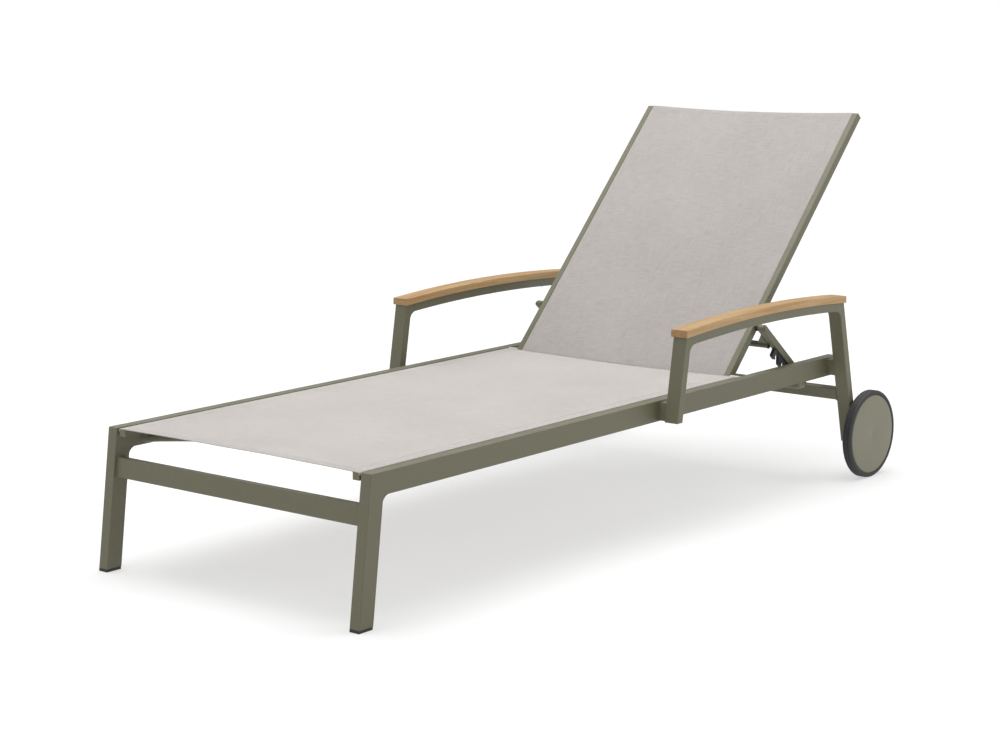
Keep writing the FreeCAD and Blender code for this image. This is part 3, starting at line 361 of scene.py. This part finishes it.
def powder_coat(name, colour, pale, roughness):
    """Fine-textured matt powder coat on aluminium."""
    material, tree, shader = finish(name)
    relief = use(tree, RELIEF, {"Grain per m": 1100.0, "Wave per m": 260.0, "Wave share": 0.6})
    dust = use(tree, DUST, {"Amount": 0.16}).outputs["Dust"]
    mottled = spread(tree, relief.outputs["Tone"], 0.3, 0.7, 0.0, 0.22)
    coat = blend_colour(tree, mottled, colour, pale)
    coat = blend_colour(tree, dust, coat, srgb(176, 172, 158))
    # Painted shade and highlight in the coat's fine relief: darker in its low spots, lighter on its high spots.
    painted_relief_shade = spread(tree, relief.outputs["Height"], 0.45, 1.1, 0.86, 1.08)
    coat = blend_colour(tree, 1.0, coat, shade(tree, painted_relief_shade), "MULTIPLY")
    tree.links.new(coat, shader.inputs["Base Color"])
    tree.links.new(spread(tree, relief.outputs["Tone"], 0.2, 0.8, roughness - 0.06,
                          roughness + 0.08), shader.inputs["Roughness"])
    tree.links.new(bumps(tree, relief.outputs["Height"], 0.35, 0.12 * MM),
                   shader.inputs["Normal"])
    shader.inputs["Specular IOR Level"].default_value = 0.45
    return material


def shade(tree, value):
    """Grey colour of a value, for multiplying."""
    return put(tree, "ShaderNodeCombineColor", {0: value, 1: value, 2: value}).outputs[0]


def sling_cloth(name, colour, dark, pale):
    """Open plain weave of vinyl-coated yarn."""
    material, tree, shader = finish(name)
    where = put(tree, "ShaderNodeUVMap", uv_map="cloth").outputs["UV"]
    weave = use(tree, WEAVE, {"Place": where, "Threads per m": 1 / WEAVE_PITCH})
    tone = spread(tree, weave.outputs["Thread tone"], 0.34, 0.66)
    yarn = blend_colour(tree, tone, dark, pale)
    yarn = blend_colour(tree, 0.5, yarn, colour)
    # Painted shade of the cloth's soft waves: some slow patches a little darker, some a little lighter.
    slow = spread(tree, clouds(tree, where, 5.0, 3.0), 0.3, 0.7, 0.95, 1.03)
    yarn = blend_colour(tree, 1.0, yarn, shade(tree, slow), "MULTIPLY")
    # Painted shade: the cloth is darker where the threads dip between one another, full colour along the threads'
    # crowns.
    painted_crevice_shade = spread(tree, weave.outputs["Height"], 0.0, 0.8, 0.74, 1.0)
    yarn = blend_colour(tree, 1.0, yarn, shade(tree, painted_crevice_shade), "MULTIPLY")
    tree.links.new(yarn, shader.inputs["Base Color"])
    tree.links.new(spread(tree, weave.outputs["Gap"], 0.0, 1.0, 1.0, 0.35),
                   shader.inputs["Alpha"])
    tree.links.new(spread(tree, tone, 0.0, 1.0, 0.6, 0.75), shader.inputs["Roughness"])
    tree.links.new(bumps(tree, weave.outputs["Height"], 0.6, 0.35 * MM),
                   shader.inputs["Normal"])
    shader.inputs["Sheen Weight"].default_value = 0.12
    return material


def sewing_thread():
    material, tree, shader = finish("sewing_thread")
    where = object_place(tree)
    twist = put(tree, "ShaderNodeTexWave", {"Vector": where, "Scale": 900.0, "Distortion": 1.5},
                bands_direction="DIAGONAL").outputs["Fac"]
    tree.links.new(blend_colour(tree, twist, srgb(162, 156, 150), srgb(200, 195, 189)),
                   shader.inputs["Base Color"])
    tree.links.new(bumps(tree, twist, 0.4, 0.1 * MM), shader.inputs["Normal"])
    shader.inputs["Roughness"].default_value = 0.7
    return material


def teak():
    """Light oiled teak: golden, straight-grained, darker on the sawn ends."""
    material, tree, shader = finish("oiled_teak")
    grain = use(tree, GRAIN, {"Bands per m": 62.0})
    wood = blend_colour(tree, grain.outputs["Bands"], srgb(184, 154, 108), srgb(158, 120, 74))
    fine = spread(tree, grain.outputs["Fibres"], 0.3, 0.7, 0.9, 1.07)
    wood = blend_colour(tree, 1.0, wood, shade(tree, fine), "MULTIPLY")
    pores = sums(tree, "MULTIPLY", grain.outputs["Pores"], 0.4)
    wood = blend_colour(tree, pores, wood, srgb(108, 72, 40))
    end = sums(tree, "MULTIPLY", grain.outputs["End"], 0.38)
    wood = blend_colour(tree, end, wood, srgb(122, 84, 50))
    tree.links.new(wood, shader.inputs["Base Color"])
    tree.links.new(spread(tree, grain.outputs["Bands"], 0.0, 1.0, 0.5, 0.62),
                   shader.inputs["Roughness"])
    rough = sums(tree, "SUBTRACT", grain.outputs["Fibres"], pores)
    tree.links.new(bumps(tree, rough, 0.4, 0.15 * MM), shader.inputs["Normal"])
    return material


def moulded(name, colour, pale, roughness, grain):
    """Moulded plastic or rubber with a fine even grain."""
    material, tree, shader = finish(name)
    relief = use(tree, RELIEF, {"Grain per m": grain, "Wave per m": 120.0, "Wave share": 0.3})
    dust = use(tree, DUST, {"Amount": 0.3}).outputs["Dust"]
    body = blend_colour(tree, spread(tree, relief.outputs["Tone"], 0.3, 0.7), colour, pale)
    body = blend_colour(tree, dust, body, srgb(150, 146, 138))
    tree.links.new(body, shader.inputs["Base Color"])
    tree.links.new(spread(tree, relief.outputs["Tone"], 0.2, 0.8, roughness - 0.08,
                          roughness + 0.08), shader.inputs["Roughness"])
    tree.links.new(bumps(tree, relief.outputs["Height"], 0.4, 0.1 * MM),
                   shader.inputs["Normal"])
    return material


def turned_steel():
    """Stainless fasteners, with fine turning marks."""
    material, tree, shader = finish("stainless_steel")
    where = object_place(tree)
    marks = clouds(tree, stretched(tree, where, (2400, 200, 2400)), 1.0, 2.0)
    tone = clouds(tree, where, 60.0, 3.0)
    tree.links.new(blend_colour(tree, tone, srgb(176, 176, 172), srgb(205, 204, 199)),
                   shader.inputs["Base Color"])
    tree.links.new(spread(tree, marks, 0.3, 0.7, 0.24, 0.42), shader.inputs["Roughness"])
    tree.links.new(bumps(tree, marks, 0.2, 0.05 * MM), shader.inputs["Normal"])
    shader.inputs["Metallic"].default_value = 1.0
    return material


COAT = powder_coat("olive_grey_coat", srgb(100, 98, 77), srgb(110, 108, 88), 0.46)
DISC_PAINT = powder_coat("wheel_disc_paint", srgb(117, 115, 95), srgb(124, 122, 103), 0.42)
SEAT_CLOTH = sling_cloth("seat_cloth", srgb(194, 188, 183), srgb(166, 159, 152),
                         srgb(210, 206, 202))
BACK_CLOTH = sling_cloth("back_cloth", srgb(176, 170, 166), srgb(150, 143, 138),
                         srgb(191, 187, 183))
THREADS = sewing_thread()
TEAK = teak()
RUBBER = moulded("tyre_rubber", srgb(38, 38, 40), srgb(46, 46, 48), 0.62, 900.0)
PLASTIC = moulded("black_plastic", srgb(30, 30, 31), srgb(38, 38, 38), 0.5, 1300.0)
CAP_PLASTIC = moulded("cap_plastic", srgb(82, 80, 62), srgb(90, 88, 70), 0.5, 1300.0)
BEARING = moulded("bearing_plastic", srgb(186, 184, 172), srgb(198, 196, 186), 0.45, 1300.0)
STEEL = turned_steel()
FINISHES = {"frame": COAT, "seat_fabric": SEAT_CLOTH, "back_fabric": BACK_CLOTH, "teak": TEAK,
            "tyre": RUBBER, "black_plastic": PLASTIC, "cap_plastic": CAP_PLASTIC, "steel": STEEL,
            "bush_plastic": BEARING}


def finish_cad_nodes():
    """Every CAD node that stays gets its finish."""
    for part in frame["record"]["subparts"]:
        for slot in frame["nodes"][part["node"]].material_slots:
            slot.material = FINISHES[part["material_slot"]]


# ---- slings ----------------------------------------------------------------------------
def side_path(s, half):
    """The cloth across its width, s from the middle: (across, down) to its tucked edge."""
    flat = half - EDGE_ROLL
    turn = EDGE_ROLL * math.pi / 2
    if s <= flat:
        return s, 0.0
    if s <= flat + turn:
        angle = (s - flat) / EDGE_ROLL
        return flat + EDGE_ROLL * math.sin(angle), -EDGE_ROLL * (1 - math.cos(angle))
    return half, -EDGE_ROLL - (s - flat - turn)


def end_path(s):
    """The cloth along its length, s from the hem's fold: (along, down)."""
    bend = math.pi * HEM_FOLD
    if s >= 0:
        return s, 0.0
    if s >= -bend:
        angle = -s / HEM_FOLD
        return -HEM_FOLD * math.sin(angle), -HEM_FOLD * (1 - math.cos(angle))
    return -s - bend, -2 * HEM_FOLD


def evenly(start, stop, steps):
    return [start + (stop - start) * i / steps for i in range(steps + 1)]


def sling_shape(length, half, hollow, sag, rail_cover, seed):
    """A function from (along, across) to a point on the cloth's upper face.

    along runs from the middle of the free end, whose edge is hollowed; w is up.
    """
    inner = half - rail_cover

    def point(s, t):
        along, under = end_path(s)
        across, down = side_path(abs(t), half)
        across = math.copysign(across, t)
        edge = hollow * (1 - (across / half) ** 2)
        u = edge + along * (1 - edge / length)
        belly = max(0.0, 1 - (across / inner) ** 2)
        near_end = 1 + END_SAG * math.exp(-u / END_RUN)
        ripple = noise.noise(Vector((u, across, seed)) * RIPPLE_SCALE) * RIPPLE
        w = -(sag * near_end + ripple) * belly + down + under
        return Vector((u, across, w))
    return point


def sling_stations(length, half):
    """Where the cloth's rows and columns run, close together at folds."""
    bend = math.pi * HEM_FOLD
    rows = evenly(-bend - HEM, -bend, 4)[:-1] + evenly(-bend, 0, 6)[:-1] + evenly(0, length, 84)
    flat = half - EDGE_ROLL
    turn = EDGE_ROLL * math.pi / 2
    right = evenly(0, flat, 22)[:-1] + evenly(flat, flat + turn, 5)[:-1] + [
        flat + turn, flat + turn + EDGE_TUCK]
    columns = [-t for t in reversed(right[1:])] + right
    return rows, columns


def sling(name, place, length, half, hollow, sag, rail_cover, seed, node, body, material):
    """A woven sling in place of a CAD one, with its hem and its rows of stitches."""
    point = sling_shape(length, half, hollow, sag, rail_cover, seed)
    rows, columns = sling_stations(length, half)
    bm = bmesh.new()
    layer = bm.loops.layers.uv.new("cloth")
    bmesh.ops.create_grid(bm, x_segments=len(rows) - 1, y_segments=len(columns) - 1, size=0.5)
    flat_place = {}
    for vert in bm.verts:
        s = rows[round((vert.co.x + 0.5) * (len(rows) - 1))]
        t = columns[round((vert.co.y + 0.5) * (len(columns) - 1))]
        flat_place[vert] = (s, t)
        vert.co = place @ point(s, t)
    for face in bm.faces:
        for loop in face.loops:
            loop[layer].uv = flat_place[loop.vert]
    cloth = piece(name, bm, body, material)
    wall = cloth.modifiers.new("cloth_thickness", "SOLIDIFY")
    wall.thickness = CLOTH
    wall.offset = -1.0
    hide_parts(node)
    seams = piece(name + "_stitches", sling_stitches(place, point, length, half), body, THREADS)
    return cloth


def add_stitch(bm, start, end, up):
    """One visible stitch, half sunk in the cloth."""
    middle = (start + end) / 2
    run = end - start
    side = up.cross(run).normalized()
    turn = Matrix((run.normalized(), side, up)).transposed().to_4x4()
    size = Matrix.Diagonal((run.length / 2, THREAD, THREAD * 0.8, 1))
    bmesh.ops.create_uvsphere(bm, u_segments=6, v_segments=4, radius=1.0,
                              matrix=Matrix.Translation(middle) @ turn @ size)


def sling_stitches(place, point, length, half):
    """Rows of stitches: one along each side, and one across the hem."""
    up = (place.to_3x3() @ UPWARD).normalized()
    lift = up * THREAD * 0.3
    ends = []
    for side in (-1, 1):
        t = side * (half - SIDE_SEAM)
        for i in range(int((length - 2 * HEM_SEAM) / STITCH_PITCH)):
            s = HEM_SEAM + i * STITCH_PITCH
            ends.append(((s, t), (s + STITCH, t)))
    reach = half - EDGE_ROLL - STITCH
    for i in range(int(2 * reach / STITCH_PITCH)):
        t = -reach + i * STITCH_PITCH
        ends.append(((HEM_SEAM, t), (HEM_SEAM, t + STITCH)))
    return gathered([(add_stitch, place @ point(*start) + lift, place @ point(*end) + lift, up)
                     for start, end in ends])


def make_slings():
    low, high = box_in(LEVEL, "seat_sling")
    place = Matrix.Translation((low.x, 0, high.z))
    track_low, track_high = box_in(LEVEL, "seat_track_right")
    cover = high.y + EDGE_ROLL / 2 - track_low.y
    sling("seat_sling_cloth", place, high.x - low.x, high.y + EDGE_ROLL / 2, SEAT_HOLLOW, SEAT_SAG,
          cover, 3.0, "seat_sling", "frame", SEAT_CLOTH)
    low, high = box_in(BACKREST, "backrest_sling")
    place = (BACKREST @ Matrix.Translation((high.x, 0, high.z))
             @ Matrix.Rotation(math.pi, 4, "Z"))
    rail_low, rail_high = box_in(BACKREST, "backrest_rail_right")
    cover = high.y - rail_low.y
    sling("backrest_sling_cloth", place, high.x - low.x, high.y, BACK_HOLLOW, BACK_SAG, cover, 8.0,
          "backrest_sling", "backrest", BACK_CLOTH)


# ---- welds -----------------------------------------------------------------------------
def add_drop(bm, middle):
    """One ripple of a weld."""
    bmesh.ops.create_icosphere(bm, subdivisions=1, radius=WELD, matrix=Matrix.Translation(middle))


def bead(path, place):
    """Ripples of a weld round a closed path of points, as jobs for gathered."""
    pitch = WELD * WELD_RIPPLE
    jobs = []
    for start, end in zip(path, path[1:] + path[:1]):
        steps = max(1, round((end - start).length / pitch))
        jobs += [(add_drop, place @ start.lerp(end, i / steps)) for i in range(steps)]
    return jobs


def round_path(low, high, y):
    """Circle round a bar's end, from the bar's box; a gusset may widen the box towards -X."""
    radius = (high.z - low.z) / 2
    steps = 16
    return [Vector((high.x - radius + radius * math.cos(math.tau * i / steps), y,
                    low.z + radius + radius * math.sin(math.tau * i / steps)))
            for i in range(steps)]


def square_path(low, high, y):
    return [Vector((low.x, y, low.z)), Vector((high.x, y, low.z)),
            Vector((high.x, y, high.z)), Vector((low.x, y, high.z))]


def make_welds():
    """Beads where the cross bars meet the tubes that carry them."""
    legs = Matrix.Rotation(LEG_LEAN, 4, "Y")
    rear = Matrix.Rotation(-REAR_LEAN, 4, "Y")
    jobs = {"frame": [("seat_middle_bar", LEVEL, round_path), ("hinge_bar", LEVEL, round_path),
                      ("catch_pins", LEVEL, round_path), ("front_cross_rail", legs, square_path),
                      ("rear_cross_rail", rear, square_path)],
            "backrest": [("backrest_lower_bar", BACKREST, square_path),
                         ("backrest_middle_bar", BACKREST, square_path),
                         ("backrest_top_bar", BACKREST, square_path)],
            "support_bail": [("bail_upper_bar", BAIL, round_path)]}
    for body, bars in jobs.items():
        drops = []
        for node, place, path in bars:
            low, high = box_in(place, node)
            for y in (low.y + WELD * WELD_SINK, high.y - WELD * WELD_SINK):
                drops += bead(path(low, high, y), place)
        piece(body + "_welds", gathered(drops), body, COAT, sharp=180)


# ---- wheels ----------------------------------------------------------------------------
def make_wheel(side):
    """Tyre, painted disc and ribbed centre of one wheel; side is left or right."""
    tyre_low, tyre_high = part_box("wheel_tyre_" + side)
    disc_low, disc_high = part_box("wheel_disc_" + side)
    centre = (tyre_low + tyre_high) / 2
    centre.y = 0.0
    outward = 1 if side == "right" else -1
    outer = tyre_high.y if side == "right" else -tyre_low.y
    inner = tyre_low.y if side == "right" else -tyre_high.y
    radius = (tyre_high.z - tyre_low.z) / 2
    rim = (disc_high.z - disc_low.z) / 2 + DISC_GAP
    body = "wheel_" + side

    def mirror_out(profile):
        return [(r, y * outward) for r, y in profile]

    tyre = piece("tyre_" + side, spun(mirror_out(tyre_section(radius, rim, inner, outer)),
                                      centre), body, RUBBER, sharp=50)
    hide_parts("wheel_tyre_" + side)
    disc = piece("disc_" + side, spun(mirror_out(disc_section(rim - DISC_GAP, outer)), centre),
                 body, DISC_PAINT, sharp=50)
    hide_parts("wheel_disc_" + side)
    piece("wheel_ribs_" + side, wheel_ribs(centre, inner, rim, outward), body, PLASTIC)


def tyre_section(radius, rim, inner, outer):
    """Tyre cut across: flat sidewalls, round shoulders and two tread grooves."""
    width = outer - inner
    third = width / 3
    g = TYRE_GROOVE
    tread = [(radius - SHOULDER_DROP, inner + 0.6 * MM), (radius, inner + TYRE_SHOULDER)]
    for middle in (inner + third, outer - third):
        tread += [(radius, middle - g), (radius - g, middle - g / 2),
                  (radius - g, middle + g / 2), (radius, middle + g)]
    tread += [(radius, outer - TYRE_SHOULDER), (radius - SHOULDER_DROP, outer - 0.6 * MM)]
    wall = [(radius - WALL_HEIGHT, outer), (rim + 1.2 * MM, outer), (rim, outer - RIM_LIP),
            (rim, inner + RIM_LIP), (rim + 1.2 * MM, inner), (radius - WALL_HEIGHT, inner)]
    return rounded(tread + wall, PROFILE_EASE)


def disc_section(radius, outer):
    """Painted cover: a thin dish with an eased edge and a skirt that grips the rim."""
    face = outer - 0.2 * MM
    back = face - DISC_THICK
    return rounded([(0.4 * MM, back), (0.4 * MM, face), (radius - 1.5 * MM, face),
                    (radius, face - 1.2 * MM), (radius, face - DISC_SKIRT),
                    (radius - 2 * MM, face - DISC_SKIRT), (radius - DISC_THICK, back)],
                   1.0 * MM)


def wheel_ribs(centre, inner, rim, outward):
    """Moulded ribs between hub and rim, on the wheel's inner face."""
    bm = bmesh.new()
    y = (inner + RIB_INSET + RIB_DEEP / 2) * outward
    end = rim - 5 * MM
    for i in range(RIB_COUNT):
        turn = Matrix.Rotation(math.tau * i / RIB_COUNT, 4, "Y")
        size = Matrix.Diagonal((end - HUB, RIB_DEEP, RIB_THICK, 1))
        shift = Matrix.Translation(((HUB + end) / 2, y, 0))
        bmesh.ops.create_cube(bm, size=1.0, matrix=Matrix.Translation(centre) @ turn @ shift @ size)
    bmesh.ops.bevel(bm, geom=bm.edges[:], offset=0.7 * MM, affect="EDGES", segments=2,
                    profile=0.5, material=-1)
    return bm


# ---- studio ----------------------------------------------------------------------------
CAMERA_PLACE = Vector((-3.6116, -2.9232, 1.1303))
CAMERA_HEADING = math.radians(39.55)     # from +X towards +Y
CAMERA_DROP = math.radians(10.15)
CAMERA_ROLL = math.radians(-0.43)
CAMERA_LENS = 79.85
ROOM_LIGHT = 0.5
GLOW_NEAR = 0.5                      # of the pale floor, round the lounger and far off
GLOW_FAR = 0.76
GLOW_FROM = 1.6                      # metres from the middle, where the glow starts to rise
GLOW_TO = 5.0


def make_camera():
    forward = Vector((math.cos(CAMERA_HEADING) * math.cos(CAMERA_DROP),
                      math.sin(CAMERA_HEADING) * math.cos(CAMERA_DROP), -math.sin(CAMERA_DROP)))
    right = forward.cross(UPWARD).normalized()
    up = right.cross(forward)
    tilted = right * math.cos(CAMERA_ROLL) + up * math.sin(CAMERA_ROLL)
    data = bpy.data.cameras.new("camera")
    data.lens = CAMERA_LENS
    data.sensor_width = 36.0
    camera = bpy.data.objects.new("camera", data)
    turn = Matrix((tilted, tilted.cross(forward), -forward)).transposed().to_4x4()
    camera.matrix_world = Matrix.Translation(CAMERA_PLACE) @ turn
    bpy.context.scene.collection.objects.link(camera)
    bpy.context.scene.camera = camera


def make_floor():
    bm = bmesh.new()
    bmesh.ops.create_grid(bm, x_segments=1, y_segments=1, size=60.0)
    mesh = bpy.data.meshes.new("floor")
    bm.to_mesh(mesh)
    bm.free()
    material, tree, shader = finish("pale_floor")
    shader.inputs["Base Color"].default_value = (0.5, 0.5, 0.5, 1)
    shader.inputs["Roughness"].default_value = 0.9
    shader.inputs["Specular IOR Level"].default_value = 0.1
    shader.inputs["Emission Color"].default_value = (1, 1, 1, 1)
    reach = put(tree, "ShaderNodeVectorMath", {0: object_place(tree)}, operation="LENGTH")
    glow = spread(tree, reach.outputs["Value"], GLOW_FROM, GLOW_TO, GLOW_NEAR,
                  GLOW_FAR)
    tree.links.new(glow, shader.inputs["Emission Strength"])
    mesh.materials.append(material)
    floor = bpy.data.objects.new("floor", mesh)
    bpy.context.scene.collection.objects.link(floor)


def soft_light(name, place, target, size, power):
    data = bpy.data.lights.new(name, "AREA")
    data.shape = "RECTANGLE"
    data.size, data.size_y = size
    data.energy = power
    lamp = bpy.data.objects.new(name, data)
    aim = (Vector(target) - Vector(place)).to_track_quat("-Z", "Y")
    lamp.matrix_world = Matrix.Translation(place) @ aim.to_matrix().to_4x4()
    bpy.context.scene.collection.objects.link(lamp)


def make_lights():
    world = bpy.data.worlds.new("studio")
    world.use_nodes = True
    tree = world.node_tree
    seen = put(tree, "ShaderNodeLightPath").outputs["Is Camera Ray"]
    backdrop = tree.nodes["Background"]
    backdrop.inputs["Color"].default_value = (1, 1, 1, 1)
    tree.links.new(spread(tree, seen, 0.0, 1.0, ROOM_LIGHT, 1.0), backdrop.inputs["Strength"])
    bpy.context.scene.world = world
    soft_light("overhead", (0.3, 0.4, 3.4), (0, 0, 0), (4.0, 3.2), 125)
    soft_light("near_side", (2.4, -3.4, 1.9), (0.6, 0, 0.3), (3.0, 1.8), 36)
    soft_light("foot_end", (-4.2, 0.4, 1.5), (0, 0, 0.2), (2.2, 1.4), 16)
    bpy.context.scene.view_settings.view_transform = "Standard"


# ---- build -----------------------------------------------------------------------------
finish_cad_nodes()
make_slings()
make_welds()
for side in ("left", "right"):
    make_wheel(side)
make_floor()
make_lights()
make_camera()
